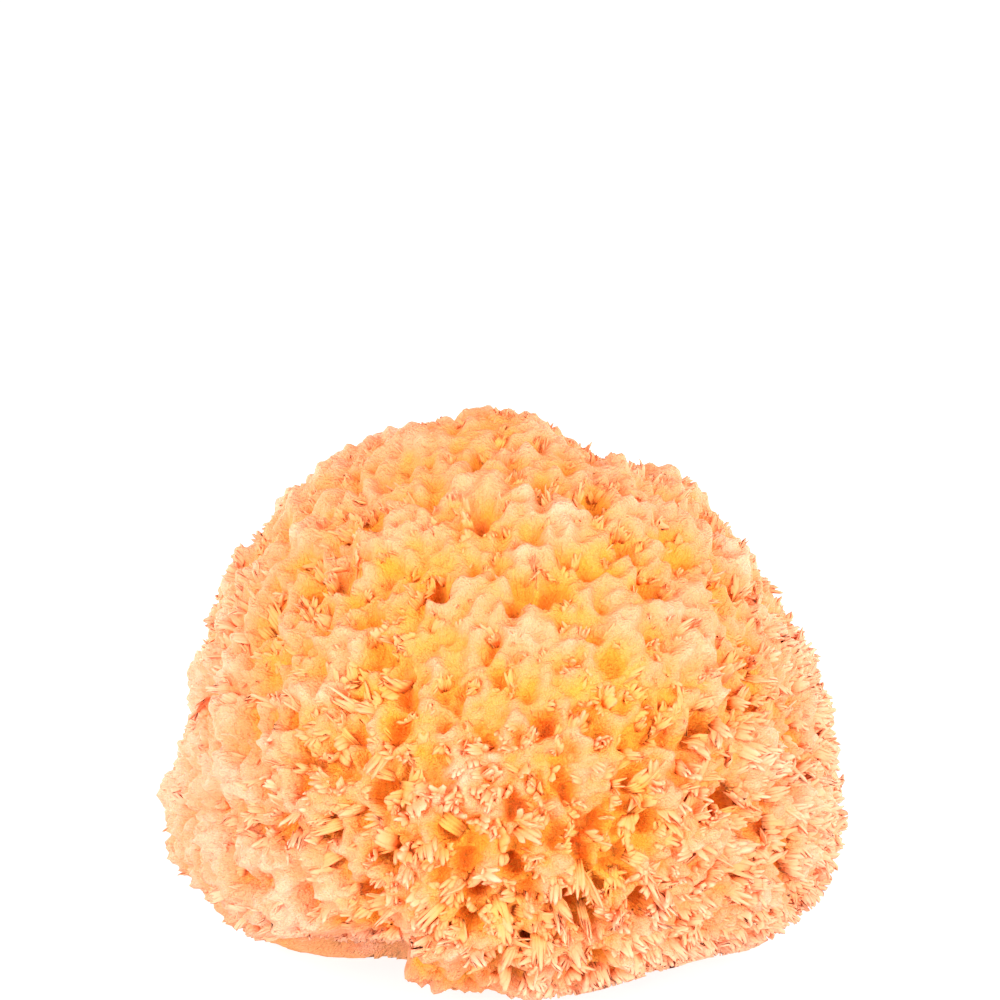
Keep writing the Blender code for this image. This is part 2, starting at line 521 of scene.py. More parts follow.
def make_mesh(
    name: str, points: np.ndarray, faces: list[np.ndarray], values: dict[Attribute, np.ndarray]
) -> bpy.types.Object:
    """Puts computed arrays into a new, smoothly shaded object at the origin.

    Args:
        name: the object's name.
        points: vertex positions, one a row.
        faces: arrays of corner indices, one array for each number of corners.
        values: a number for each vertex, by attribute.

    Returns:
        The object, linked to the scene.
    """
    mesh = bpy.data.meshes.new(name)
    corners = np.concatenate([part.ravel() for part in faces])
    sizes = np.concatenate([np.full(len(part), part.shape[1]) for part in faces])
    mesh.vertices.add(len(points))
    mesh.vertices.foreach_set("co", points.astype(np.float32).ravel())
    mesh.loops.add(len(corners))
    mesh.loops.foreach_set("vertex_index", corners.astype(np.int32))
    mesh.polygons.add(len(sizes))
    mesh.polygons.foreach_set("loop_start", (np.cumsum(sizes) - sizes).astype(np.int32))
    mesh.update(calc_edges=True)
    mesh.shade_smooth()
    for attribute, numbers in values.items():
        layer = mesh.attributes.new(attribute.value, "FLOAT", "POINT")
        layer.data.foreach_set("value", np.clip(numbers, 0, 1).astype(np.float32))
    piece = bpy.data.objects.new(name, mesh)
    bpy.context.scene.collection.objects.link(piece)
    return piece


def triangle_count(piece: bpy.types.Object) -> int:
    """How many triangles the piece's faces make."""
    return len(piece.data.loops) - 2 * len(piece.data.polygons)


class Speckle(NamedTuple):
    """How fine a noise is: its scale in lumps a metre, and how much finer detail it has."""

    scale: float
    detail: float


class NodeTree:
    """A short way to lay out shader nodes."""

    def __init__(self, tree: bpy.types.NodeTree) -> None:
        """Keeps the tree that nodes are added to."""
        self.tree = tree

    def add(self, kind: str, **settings: object) -> bpy.types.Node:
        """Adds a node.

        Args:
            kind: the node's type.
            **settings: its properties.

        Returns:
            The node.
        """
        node = self.tree.nodes.new(kind)
        for name, value in settings.items():
            setattr(node, name, value)
        return node

    def link(self, source: bpy.types.NodeSocket, target: bpy.types.NodeSocket) -> None:
        """Joins an output to an input."""
        self.tree.links.new(source, target)

    def attribute(self, attribute: Attribute) -> bpy.types.NodeSocket:
        """The value of a mesh attribute."""
        return self.add("ShaderNodeAttribute", attribute_name=attribute.value).outputs["Fac"]

    def noise(self, position: bpy.types.NodeSocket, speckle: Speckle) -> bpy.types.NodeSocket:
        """Noise at a position.

        Args:
            position: where the noise is read, in metres.
            speckle: how fine it is.

        Returns:
            A value round a half.
        """
        node = self.add("ShaderNodeTexNoise")
        node.inputs["Scale"].default_value = speckle.scale
        node.inputs["Detail"].default_value = speckle.detail
        self.link(position, node.inputs["Vector"])
        return node.outputs["Fac"]

    def math(
        self, operation: str, first: bpy.types.NodeSocket | float, second: bpy.types.NodeSocket | float
    ) -> bpy.types.NodeSocket:
        """A Math node.

        Args:
            operation: what it works out.
            first: its first value, a socket or a number.
            second: its second value, a socket or a number.

        Returns:
            The result.
        """
        node = self.add("ShaderNodeMath", operation=operation)
        for socket, value in zip(node.inputs, (first, second)):
            if isinstance(value, (int, float)):
                socket.default_value = value
            else:
                self.link(value, socket)
        return node.outputs[0]


class ToneStop(NamedTuple):
    """A colour of the fibre at a painted-shade value: 0 in the deepest painted shade at the bottom of a
    pore, 1 at the tips.
    """

    depth: float
    colour: tuple[float, float, float]


@dataclass(frozen=True)
class FibreTone:
    """The colour of spongin, with painted shade that deepens it by depth in the pores, patchy as it dries,
    and the bump of its fibres.
    """

    name: str = "fibre_tone"
    # The fibre's orange, deepened by painted shade towards 0 and paler towards the lit tips at 1
    stops: tuple[ToneStop, ...] = (
        ToneStop(0.0, (0.98, 0.325, 0.035)),
        ToneStop(0.28, (0.98, 0.318, 0.075)),
        ToneStop(0.48, (0.98, 0.315, 0.115)),
        ToneStop(0.68, (0.98, 0.335, 0.152)),
        ToneStop(0.85, (0.98, 0.375, 0.195)),
        ToneStop(1.0, (0.985, 0.435, 0.265)),
    )
    patches: Speckle = Speckle(60.0, 2.0)
    grain: Speckle = Speckle(420.0, 3.0)
    strands: Speckle = Speckle(1900.0, 2.0)
    fuzz: Speckle = Speckle(1600.0, 3.0)
    patch_shade: float = 1.6
    grain_shade: float = 0.9
    strand_shade: float = 0.28
    fuzz_height: float = 0.3
    grain_height: float = 1.1
    roughness: float = 0.72
    roughness_spread: float = 0.4

    def group(self) -> bpy.types.ShaderNodeTree:
        """The node group of this tone, made once.

        Returns:
            A group with inputs Depth, the painted shade from 0 at the bottom of a pore to 1 at the tips,
            Tone, Patchiness and
            Strand Place, a position in metres that varies only from one strand of fibre to the next, and
            outputs Color, Roughness and Height.
        """
        if self.name in bpy.data.node_groups:
            return bpy.data.node_groups[self.name]
        group = bpy.data.node_groups.new(self.name, "ShaderNodeTree")
        for label in ("Depth", "Tone", "Patchiness"):
            group.interface.new_socket(label, in_out="INPUT", socket_type="NodeSocketFloat")
        group.interface.new_socket("Strand Place", in_out="INPUT", socket_type="NodeSocketVector")
        group.interface.new_socket("Color", in_out="OUTPUT", socket_type="NodeSocketColor")
        group.interface.new_socket("Roughness", in_out="OUTPUT", socket_type="NodeSocketFloat")
        group.interface.new_socket("Height", in_out="OUTPUT", socket_type="NodeSocketFloat")
        nodes = NodeTree(group)
        given = nodes.add("NodeGroupInput").outputs
        result = nodes.add("NodeGroupOutput").inputs
        place = nodes.add("ShaderNodeTexCoord").outputs["Object"]
        patches = nodes.math("SUBTRACT", nodes.noise(place, self.patches), MIDDLE)
        grain = nodes.math("SUBTRACT", nodes.noise(place, self.grain), MIDDLE)
        tone = nodes.math("SUBTRACT", given["Tone"], MIDDLE)
        patches = nodes.math("MULTIPLY", patches, self.patch_shade)
        mixed = nodes.math("ADD", patches, nodes.math("MULTIPLY", grain, self.grain_shade))
        mixed = nodes.math("MULTIPLY", nodes.math("ADD", mixed, tone), given["Patchiness"])
        strands = nodes.noise(given["Strand Place"], self.strands)
        streaks = nodes.math("MULTIPLY", nodes.math("SUBTRACT", strands, MIDDLE), self.strand_shade)
        shade = nodes.math("ADD", nodes.math("ADD", given["Depth"], mixed), streaks)
        ramp = nodes.add("ShaderNodeValToRGB")
        self._fill(ramp.color_ramp)
        nodes.link(shade, ramp.inputs["Fac"])
        nodes.link(ramp.outputs["Color"], result["Color"])
        fuzz = nodes.noise(place, self.fuzz)
        height = nodes.math("ADD", strands, nodes.math("MULTIPLY", fuzz, self.fuzz_height))
        height = nodes.math("ADD", height, nodes.math("MULTIPLY", grain, self.grain_height))
        nodes.link(height, result["Height"])
        roughness = nodes.math("MULTIPLY", grain, self.roughness_spread)
        nodes.link(nodes.math("ADD", roughness, self.roughness), result["Roughness"])
        return group

    def _fill(self, ramp: bpy.types.ColorRamp) -> None:
        """Sets a ramp's stops to the fibre's colours.

        Args:
            ramp: the ramp of a new node, which has fewer stops.
        """
        while len(ramp.elements) < len(self.stops):
            ramp.elements.new(MIDDLE)
        for element, stop in zip(ramp.elements, self.stops):
            element.position = stop.depth
            element.color = (*stop.colour, 1.0)


# The lobes' ramp: the same painted shade, less red in the gaps between lobes
LOBE_TONE = FibreTone(
    name="lobe_tone",
    stops=(
        ToneStop(0.0, (0.98, 0.35, 0.055)),
        ToneStop(0.28, (0.98, 0.343, 0.09)),
        ToneStop(0.48, (0.98, 0.335, 0.12)),
        ToneStop(0.68, (0.98, 0.343, 0.155)),
        ToneStop(0.85, (0.98, 0.38, 0.195)),
        ToneStop(1.0, (0.985, 0.43, 0.255)),
    ),
)


class Strands(Enum):
    """Where a finish finds its strands: along rays from the heart, or along the lobes that carry ACROSS."""

    FROM_HEART = "from heart"
    ALONG_LOBE = "along lobe"


@dataclass(frozen=True)
class FibreFinish:
    """Dry, translucent spongin: a dull skin that lets a little light through."""

    name: str
    patchiness: float
    bump_distance: float
    strands: Strands
    subsurface: float
    subsurface_reach: float = 2.0 * MM
    subsurface_radius: tuple[float, float, float] = (1.0, 0.45, 0.18)
    specular: float = 0.1
    across_span: float = 12.0 * MM
    cut_shade_colour: tuple[float, float, float] | None = None
    tone: FibreTone = FibreTone()

    def material(self) -> bpy.types.Material:
        """The material, with its colour, roughness and bump from the fibre's tone.

        Returns:
            A new material whose Principled BSDF reads the mesh's depth and tone.
        """
        material = bpy.data.materials.new(self.name)
        material.use_nodes = True
        nodes = NodeTree(material.node_tree)
        shader = material.node_tree.nodes["Principled BSDF"]
        tone = nodes.add("ShaderNodeGroup", node_tree=self.tone.group())
        tone.inputs["Patchiness"].default_value = self.patchiness
        nodes.link(self._strand_place(nodes), tone.inputs["Strand Place"])
        nodes.link(nodes.attribute(Attribute.DEPTH), tone.inputs["Depth"])
        nodes.link(nodes.attribute(Attribute.TONE), tone.inputs["Tone"])
        bump = nodes.add("ShaderNodeBump")
        bump.inputs["Strength"].default_value = 1.0
        bump.inputs["Distance"].default_value = self.bump_distance
        nodes.link(tone.outputs["Height"], bump.inputs["Height"])
        nodes.link(self._with_cut(nodes, tone.outputs["Color"]), shader.inputs["Base Color"])
        nodes.link(tone.outputs["Roughness"], shader.inputs["Roughness"])
        nodes.link(bump.outputs["Normal"], shader.inputs["Normal"])
        shader.inputs["Subsurface Weight"].default_value = self.subsurface
        shader.inputs["Subsurface Radius"].default_value = self.subsurface_radius
        shader.inputs["Subsurface Scale"].default_value = self.subsurface_reach
        shader.inputs["Specular IOR Level"].default_value = self.specular
        return material

    def _with_cut(self, nodes: NodeTree, colour: bpy.types.NodeSocket) -> bpy.types.NodeSocket:
        """The colour, turned to a darker tan where the mesh marks the trimmed band: partly the cut face's
        own colour, partly painted shade under the overhang.

        Args:
            nodes: the material's nodes.
            colour: the fibre's colour.

        Returns:
            The colour itself where the finish has no cut face, or else its mix with the tan.
        """
        if self.cut_shade_colour is None:
            return colour
        mix = nodes.add("ShaderNodeMix", data_type="RGBA")
        nodes.link(nodes.attribute(Attribute.CUT), mix.inputs["Factor"])
        nodes.link(colour, mix.inputs["A"])
        mix.inputs["B"].default_value = (*self.cut_shade_colour, 1.0)
        return mix.outputs["Result"]

    def _strand_place(self, nodes: NodeTree) -> bpy.types.NodeSocket:
        """A position that varies only from strand to strand, in metres.

        Args:
            nodes: the material's nodes.

        Returns:
            The distance across the lobe with its tone, or the point at half the sponge's width on the ray
            from the heart.
        """
        if self.strands is Strands.ALONG_LOBE:
            place = nodes.add("ShaderNodeCombineXYZ")
            across = nodes.attribute(Attribute.ACROSS)
            nodes.link(nodes.math("MULTIPLY", across, self.across_span), place.inputs["X"])
            nodes.link(nodes.attribute(Attribute.TONE), place.inputs["Y"])
            return place.outputs["Vector"]
        from_heart = nodes.add("ShaderNodeVectorMath", operation="SUBTRACT")
        nodes.link(nodes.add("ShaderNodeTexCoord").outputs["Object"], from_heart.inputs[0])
        from_heart.inputs[1].default_value = (0.0, 0.0, GrowthForm.heart_height)
        ray = nodes.add("ShaderNodeVectorMath", operation="NORMALIZE")
        nodes.link(from_heart.outputs[0], ray.inputs[0])
        spread = nodes.add("ShaderNodeVectorMath", operation="SCALE")
        nodes.link(ray.outputs[0], spread.inputs[0])
        spread.inputs["Scale"].default_value = GrowthForm.half_width
        return spread.outputs[0]


def ride_as_sponge(piece: bpy.types.Object, material: bpy.types.Material) -> None:
    """Dresses a finished piece, and lets it stand for the sponge's plain solid.

    Args:
        piece: the piece's object.
        material: its material.
    """
    piece.data.materials.append(material)
    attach(piece, BODY)
    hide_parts(NODE)


@dataclass(frozen=True)
class Burial:
    """How much fibre lies over a point, read from a grid that counts the points of the coat."""

    cell: float = 1.25 * MM
    cells: int = 152
    steps: int = 5
    stride: float = 1.2 * MM
    least_count: float = 0.2
    most: float = 2.0

    def _cell_of(self, seen: np.ndarray) -> np.ndarray:
        """The number of the cell that each point lies in, counted along z, then y, then x."""
        place = np.clip((seen / self.cell + self.cells / 2).astype(int), 0, self.cells - 1)
        return (place[..., 0] * self.cells + place[..., 1]) * self.cells + place[..., 2]

    def over(self, seen: np.ndarray, cloud: np.ndarray) -> np.ndarray:
        """How buried points are: the mean fill of the cells on the way out from each.

        Args:
            seen: the points, seen from the heart.
            cloud: the coat's points, seen from the heart.

        Returns:
            About 0 for a bare point and 1 under a coat of mean thickness.
        """
        counts = np.bincount(self._cell_of(cloud).ravel(), minlength=self.cells**3)
        counts = counts.reshape((self.cells,) * 3).astype(float)
        for axis in range(3):
            counts = (counts + np.roll(counts, 1, axis) + np.roll(counts, -1, axis)) / 3
        fill = (counts / counts[counts > self.least_count].mean()).ravel()
        outward = unit(seen)
        strides = [self.stride * step for step in range(1, self.steps + 1)]
        total = sum(fill[self._cell_of(seen + outward * stride)] for stride in strides)
        return np.clip(total / self.steps, 0, self.most)


def lean_away(directions: np.ndarray) -> np.ndarray:
    """The way that fibres lean at each direction: over the surface, away from the middle of the front.

    Args:
        directions: unit vectors from the heart.

    Returns:
        Vectors square to the directions, nearly 0 at the front's middle and at its opposite, and up to 1
        between.
    """
    return across_surface(directions - FRONT_POLE, directions)


@dataclass(frozen=True)
class PorousBody:
    """The closed body: pore walls that lean away from the front, pits between them and the trimmed foot."""

    form: GrowthForm
    panels: int = 124
    bottom_crowding: float = 0.45
    wall_half_width: float = 0.55 * MM
    wall_wobble: Crumple = Crumple(5.0 * MM, 11, 0.35 * MM)
    pit_slope: float = 3.0 * MM
    crest_drop: float = 1.3 * MM
    calm_crest_drop: float = 0.3 * MM
    crest_swell: Crumple = Crumple(9.0 * MM, 12, 0.6 * MM)
    lumps: Crumple = Crumple(3.8 * MM, 13, 0.4 * MM)
    crumbs: Crumple = Crumple(2.7 * MM, 14, 0.32 * MM)
    ridges: Crumple = Crumple(6.5 * MM, 19)
    ridge_height: float = 0.8 * MM
    ridge_middle: float = 0.8
    pit_depth: float = 2.8 * MM
    pit_depth_spread: float = 0.8 * MM
    closed_pit_depth: float = 1.1 * MM
    hollow_least: float = 3.2 * MM
    hollow_most: float = 5.2 * MM
    hollow_floor: float = 0.3
    hollow_wobble: float = 1.6
    pocket_slope: float = 2.4 * MM
    calm_filling: float = 0.15
    deepest: float = 6.6 * MM
    skin_depth: float = 0.5 * MM
    lean: float = 2.4 * MM
    lean_reach: float = 5.0 * MM
    cut_fade: tuple[float, float] = (0.7, 1.3)
    cut_relief: float = 0.12
    crease_depth: float = 1.6 * MM
    creases: Crumple = Crumple(5.0 * MM, 17)
    crease_stretch: tuple[float, float, float] = (0.35, 0.35, 1.8)
    foot_reach: float = 75.0 * MM
    foot_flatness: float = 0.02 * MM
    pore_count: int = 2600
    pore_jitter: float = 0.6 * MM
    pore_size: float = 0.28 * MM
    pore_evenness: float = 2.0
    pore_height: float = 1.6
    pore_slant: float = 0.35
    # Painted shade in the foot's pores, under the lobes, and over this depth
    pore_shade: float = 2.0
    burial_shade: float = 0.12
    painted_shade_reach: float = 7.0 * MM
    tone_patches: Crumple = Crumple(14.0 * MM, 15, 0.2)
    tone_spots: Crumple = Crumple(5.0 * MM, 18, 0.15)
    cut_share: float = 0.75
    cut_patches: Crumple = Crumple(8.0 * MM, 16, 0.25)
    pit_seed: int = 5
    pore_seed: int = 6
    finish: FibreFinish = FibreFinish(
        "sponge_body",
        patchiness=0.34,
        bump_distance=0.9 * MM,
        strands=Strands.FROM_HEART,
        subsurface=0.12,
        # Tan of the trimmed band, partly its own colour and partly painted shade
        cut_shade_colour=(0.84, 0.35, 0.13),
    )

    def _cube_sphere(self) -> tuple[np.ndarray, np.ndarray]:
        """Directions on a closed sphere of six square panels.

        Returns:
            Directions, and the corners of its quads. A panel's grid runs in equal angles, the panels' shared
            borders are merged, and the sphere is seen from below its middle, so that few points are left for
            the foot.
        """
        n = self.panels
        i, j = np.meshgrid(np.arange(n + 1), np.arange(n + 1), indexing="ij")
        lattice = []
        quads = []
        for axis in range(3):
            for side in (0, n):
                sheet = np.insert(np.stack((i, j), axis=-1), axis, side, axis=2).reshape(-1, 3)
                index = np.arange(len(sheet)).reshape(n + 1, n + 1) + len(sheet) * len(lattice)
                corners = (index[:-1, :-1], index[1:, :-1], index[1:, 1:], index[:-1, 1:])
                outward = (side == n) == (axis != 1)
                quads.append(np.stack(corners if outward else corners[::-1], axis=-1).reshape(-1, 4))
                lattice.append(sheet)
        keys = np.concatenate(lattice) @ ((n + 1) ** 2, n + 1, 1)
        _, first, merged = np.unique(keys, return_index=True, return_inverse=True)
        angles = (np.concatenate(lattice)[first] / n - 0.5) * math.pi / 2
        sphere = unit(np.tan(angles))
        return unit(sphere + (0, 0, self.bottom_crowding)), merged.reshape(-1)[np.concatenate(quads)]

    def _relief(self, directions: np.ndarray) -> np.ndarray:
        """Depth under the tips.

        Args:
            directions: unit vectors from the heart.

        Returns:
            A level crest on each wall with a shallow dimple in each closed pit, or the deepest bowl of the
            open pits round it where that is deeper, so that bowls that touch run together, and low ridges
            and crumbs all over.
        """
        form = self.form
        random = np.random.default_rng(self.pit_seed)
        depths = np.abs(random.normal(self.pit_depth, self.pit_depth_spread, len(form.pits)))
        depths[-len(POCKETS) :] = [min(pocket.depth * MM, self.deepest) for pocket in POCKETS]
        depths = depths * (1 - self.calm_filling * form.calm(form.pits))
        reaches = random.uniform(self.hollow_least, self.hollow_most, len(form.pits))
        reaches[-len(POCKETS) :] = [pocket.radius * MM + self.pocket_slope for pocket in POCKETS]
        open_pits = form.open_pits()
        middles, depths, reaches = form.pits[open_pits], depths[open_pits], reaches[open_pits]
        _, _, gap = form.nearest_pits(directions)
        points = directions * form.half_width
        wobble = self.wall_wobble.at(points)
        dimple = smooth_step(0.0, self.pit_slope, gap * form.half_width + wobble - self.wall_half_width)
        bowls = np.zeros(len(directions))
        for rows in chunks(len(directions)):
            angles = np.arccos(np.clip(directions[rows] @ middles.T, -1, 1))
            away = (angles * form.half_width + self.hollow_wobble * wobble[rows, None]) / reaches
            bowls[rows] = (depths * (1 - smooth_step(self.hollow_floor, 1.0, away))).max(axis=1)
        crest = self.crest_drop + (self.calm_crest_drop - self.crest_drop) * form.calm(directions)
        crest = crest + self.crest_swell.at(points)
        rough = self.lumps.at(points) + self.crumbs.at(points)
        ridges = self.ridge_height * (np.abs(self.ridges.at(points)) - self.ridge_middle)
        return crest + np.maximum(dimple * self.closed_pit_depth, bowls) + rough + ridges

    def _crease_depths(self, directions: np.ndarray) -> np.ndarray:
        """How deep the trimmed band's creases are: the square of noise drawn out along the foot's rim."""
        rim = self.form.place(directions, 0.0) * self.crease_stretch
        return self.crease_depth * np.clip(self.creases.at(rim), 0, 1) ** 2

    def _foot_pores(self, points: np.ndarray) -> np.ndarray:
        """How far the cut face is eaten upwards by round pores of random size, on a jittered spiral over it.

        Args:
            points: points of the cut face, one a row.

        Returns:
            The height of the tallest pore over each point, in metres.
        """
        random = np.random.default_rng(self.pore_seed)
        index = np.arange(self.pore_count) + 0.5
        reach = self.foot_reach * np.sqrt(index / self.pore_count)
        turn = index * GOLDEN_ANGLE
        middles = np.stack((reach * np.cos(turn), reach * np.sin(turn)), axis=1)
        middles += random.normal(0, self.pore_jitter, middles.shape)
        sizes = random.gamma(self.pore_evenness, self.pore_size, self.pore_count)
        eaten = np.zeros(len(points))
        for rows in chunks(len(points)):
            offset = points[rows, None, :2] - middles[None]
            inside = 1 - (offset**2).sum(axis=2) / sizes**2
            eaten[rows] = (np.sqrt(np.clip(inside, 0, 1)) * sizes).max(axis=1)
        return self.pore_height * eaten

    def build(self, coat: np.ndarray) -> bpy.types.Object:
        """Computes the body and dresses it.

        Args:
            coat: the points of the lobes over it, seen from the heart.

        Returns:
            The piece sponge_body.
        """
        form = self.form
        directions, quads = self._cube_sphere()
        outer = form.outer_radius(directions)
        height = outer * directions[:, 2] + form.heart_height
        above_cut = smooth_step(*self.cut_fade, height / form.band_height(directions))
        relief = self._relief(directions) * (self.cut_relief + (1 - self.cut_relief) * above_cut)
        depth = self.skin_depth + relief + form.hollow(directions) * above_cut
        depth = depth + self._crease_depths(directions) * (1 - above_cut)
        upright = np.clip(1 - depth / self.lean_reach, 0, 1) * above_cut
        leaning = lean_away(directions) * (self.lean * upright)[:, None]
        points = form.trim(directions * (outer - depth)[:, None] + leaning)
        flat = points[:, 2] < self.foot_flatness
        eaten = np.zeros(len(points))
        eaten[flat] = self._foot_pores(points[flat])
        seen = form.from_heart(points)
        outward = unit(seen)
        points = points - outward * (eaten / np.clip(-outward[:, 2], self.pore_slant, 1))[:, None]
        # Painted shade: deeper with depth under the tips, in the foot's pores and under the coat of lobes,
        # with the painted side shading on top
        shade = 1 - np.maximum(depth, eaten * self.pore_shade) / self.painted_shade_reach
        shade = shade - self.burial_shade * Burial().over(seen, coat) - form.painted_side_shade(directions)
        tone = MIDDLE + self.tone_patches.at(points) + self.tone_spots.at(points)
        cut = (1 - above_cut) * (self.cut_share + self.cut_patches.at(points))
        values = {Attribute.DEPTH: shade, Attribute.TONE: tone, Attribute.CUT: cut}
        piece = make_mesh("sponge_body", points, [quads], values)
        ride_as_sponge(piece, self.finish.material())
        return piece


class LobeSet(NamedTuple):
    """Where the lobes stand, which way they lean and how big they are: one row a lobe in every array."""

    roots: np.ndarray
    away: np.ndarray
    width_axis: np.ndarray
    outer: np.ndarray
    rise: np.ndarray
    lean: np.ndarray
    width: np.ndarray
    cup: np.ndarray
    tone: np.ndarray
    calm: np.ndarray

    def kept(self, mask: np.ndarray) -> "LobeSet":
        """The lobes for which the mask is true."""
        return LobeSet(*(part[mask] for part in self))


@dataclass(frozen=True)
class LobeCoat:
    """Lobes of fused fibre that stand on the pore walls, and end in a frayed rim of fine teeth."""

    form: GrowthForm
    spread_count: int = 12400
    spread_jitter: float = 0.4
    teeth: int = 4
    rows: tuple[float, ...] = (0.0, 0.62, 0.92, 1.0)
    width: float = 3.7 * MM
    width_spread: float = 1.2 * MM
    width_least: float = 2.4 * MM
    facing_share: float = 0.8
    wall_share: float = 0.7
    thickness: float = 1.4 * MM
    thickness_range: tuple[float, float] = (0.7, 1.3)
    notch_thickness: float = 0.8
    tip_thinning: float = 0.5
    flare: tuple[float, float, float] = (0.72, 0.5, -0.3)
    root_depth: float = 5.0 * MM
    tip_rise: float = 0.3 * MM
    tip_depth_spread: float = 1.6 * MM
    form_margin: float = 0.9 * MM
    floor_margin: float = 0.4 * MM
    lean: float = 5.0 * MM
    lean_range: tuple[float, float] = (0.6, 1.25)
    lean_curve: float = 1.6
    stray: float = 0.5
    skew: float = 0.14
    corner_drop: float = 0.24
    split_full: float = 0.9
    tooth_longer: float = 0.16
    tooth_shorter: float = 0.08
    tooth_narrowing: float = 0.1
    tooth_point: float = 0.35
    notch_least: float = 0.05
    notch_most: float = 0.36
    notch_shift: float = 0.3
    tooth_fill: float = 0.68
    tooth_stray: float = 0.45 * MM
    fray_range: tuple[float, float] = (0.5, 1.2)
    curl: float = 0.7 * MM
    cup: float = 0.3 * MM
    cup_spread: float = 0.8 * MM
    calm_smoothing: float = 0.2
    calm_sinking: float = 0.5 * MM
    calm_slimming: float = 0.5
    calm_shortening: float = 0.42
    calm_dulling: float = 0.6
    calm_thinning: float = 0.15
    molten_thinning: float = 0.75
    least_fall: float = 0.02
    fall_margin: float = 1.3
    root_above_band: float = 3.0 * MM
    tip_above_band: float = 0.6 * MM
    least_room: float = 0.3 * MM
    open_reach: float = 3.0 * MM
    reach_lean: float = 0.85
    tone_range: tuple[float, float] = (0.3, 0.7)
    # Painted shade under the form and under other lobes, a painted highlight on the tips and painted shade
    # in the notches
    painted_shade_reach: float = 8.0 * MM
    burial_shade: float = 0.16
    tip_light: float = 0.06
    notch_shade: float = 0.03
    pieces: int = 5
    seed: int = 21
    finish: FibreFinish = FibreFinish(
        "sponge_tufts",
        patchiness=0.34,
        bump_distance=0.4 * MM,
        strands=Strands.ALONG_LOBE,
        subsurface=0.0,
        tone=LOBE_TONE,
    )

    @property
    def columns(self) -> int:
        """Points across a lobe: two on each tooth, and one in each notch and border."""
        return 3 * self.teeth + 1

    def _tooth_columns(self) -> tuple[np.ndarray, np.ndarray, np.ndarray]:
        """What each column is.

        Returns:
            The number of the tooth that it is nearest to, whether it is on a tooth and not in a notch or
            border, and on which side of its tooth it is, -1 or 1.
        """
        index = np.arange(self.columns)
        tooth = np.clip((index - 1) // 3, 0, self.teeth - 1)
        return tooth, index % 3 > 0, np.where(index % 3 == 1, -1, 1)

    def _notch_numbers(self) -> np.ndarray:
        """The number of the notch or border that each column is at, or next to."""
        return np.arange(self.columns) // 3

    def _roots(self, random: np.random.Generator) -> tuple[np.ndarray, np.ndarray]:
        """Directions of the lobes' roots on the walls, and which way each wall runs.

        Args:
            random: the source of the spread's jitter.

        Returns:
            Directions, each drawn onto the plane halfway between its two nearest pits, and unit vectors
            along that plane over the surface.
        """
        spiral = golden_spiral(self.spread_count)
        jitter = self.spread_jitter * spiral_spacing(self.spread_count)
        shaken = unit(spiral + random.normal(0, jitter, spiral.shape))
        first, second, _ = self.form.nearest_pits(shaken)
        between = unit(self.form.pits[first] - self.form.pits[second])
        on_wall = unit(shaken - between * dot(shaken, between))
        along_wall = unit(np.cross(between, on_wall))
        height = self.form.place(on_wall, self.root_depth)[:, 2]
        kept = height > self.form.bare_height(on_wall) + self.root_above_band
        return on_wall[kept], along_wall[kept]

    def _draw(self, random: np.random.Generator) -> LobeSet:
        """Draws every lobe's place, lean and size, and leaves out those that would close an open pit.

        Args:
            random: the source of all draws.

        Returns:
            The lobes that stay.
        """
        form = self.form
        roots, along_wall = self._roots(random)
        count = len(roots)
        calm = form.calm(roots)
        away = lean_away(roots) + across_surface(random.normal(0, self.stray, (count, 3)), roots)
        face_across = unit(np.cross(roots, away))
        side = np.sign(dot(along_wall, face_across))
        width_axis = unit(face_across * self.facing_share + along_wall * side * self.wall_share)
        outer = form.outer_radius(roots)
        tip_depth = random.uniform(-self.tip_rise, self.tip_depth_spread, count) + form.hollow(roots)
        tip_depth = tip_depth + self.calm_sinking * calm
        width = np.clip(random.normal(self.width, self.width_spread, count), self.width_least, None)
        width = width * (1 - self.calm_shortening * calm)
        lean = self.lean * random.uniform(*self.lean_range, count) * (1 - self.calm_shortening * calm)
        tip_height = form.heart_height + roots[:, 2] * (outer - tip_depth) - form.bare_height(roots)
        half_span = width / 2 * np.abs(width_axis[:, 2])
        room = np.clip(tip_height - half_span - self.tip_above_band, self.least_room, None)
        falls = away[:, 2] < -self.least_fall
        lean_most = room / np.where(falls, -self.fall_margin * away[:, 2], 1)
        lean = np.where(falls, np.minimum(lean, lean_most), lean)
        cup = random.normal(self.cup, self.cup_spread, count)
        tone = random.uniform(*self.tone_range, count)
        rise = self.root_depth - tip_depth
        lobes = LobeSet(roots, away, width_axis, outer, rise, lean, width, cup, tone, calm)
        reach = unit(roots * (outer - tip_depth)[:, None] + away * (lean * self.reach_lean)[:, None])
        nearest, _, _ = form.nearest_pits(reach)
        angle = np.arccos(np.clip(dot(reach, form.pits[nearest])[:, 0], -1, 1))
        closes = form.open_pits()[nearest] & (angle * form.half_width < self.open_reach)
        thinning = np.maximum(self.calm_thinning * calm, self.molten_thinning * form.molten(roots))
        thinned = random.uniform(size=count) < thinning
        return lobes.kept(~closes & ~thinned)

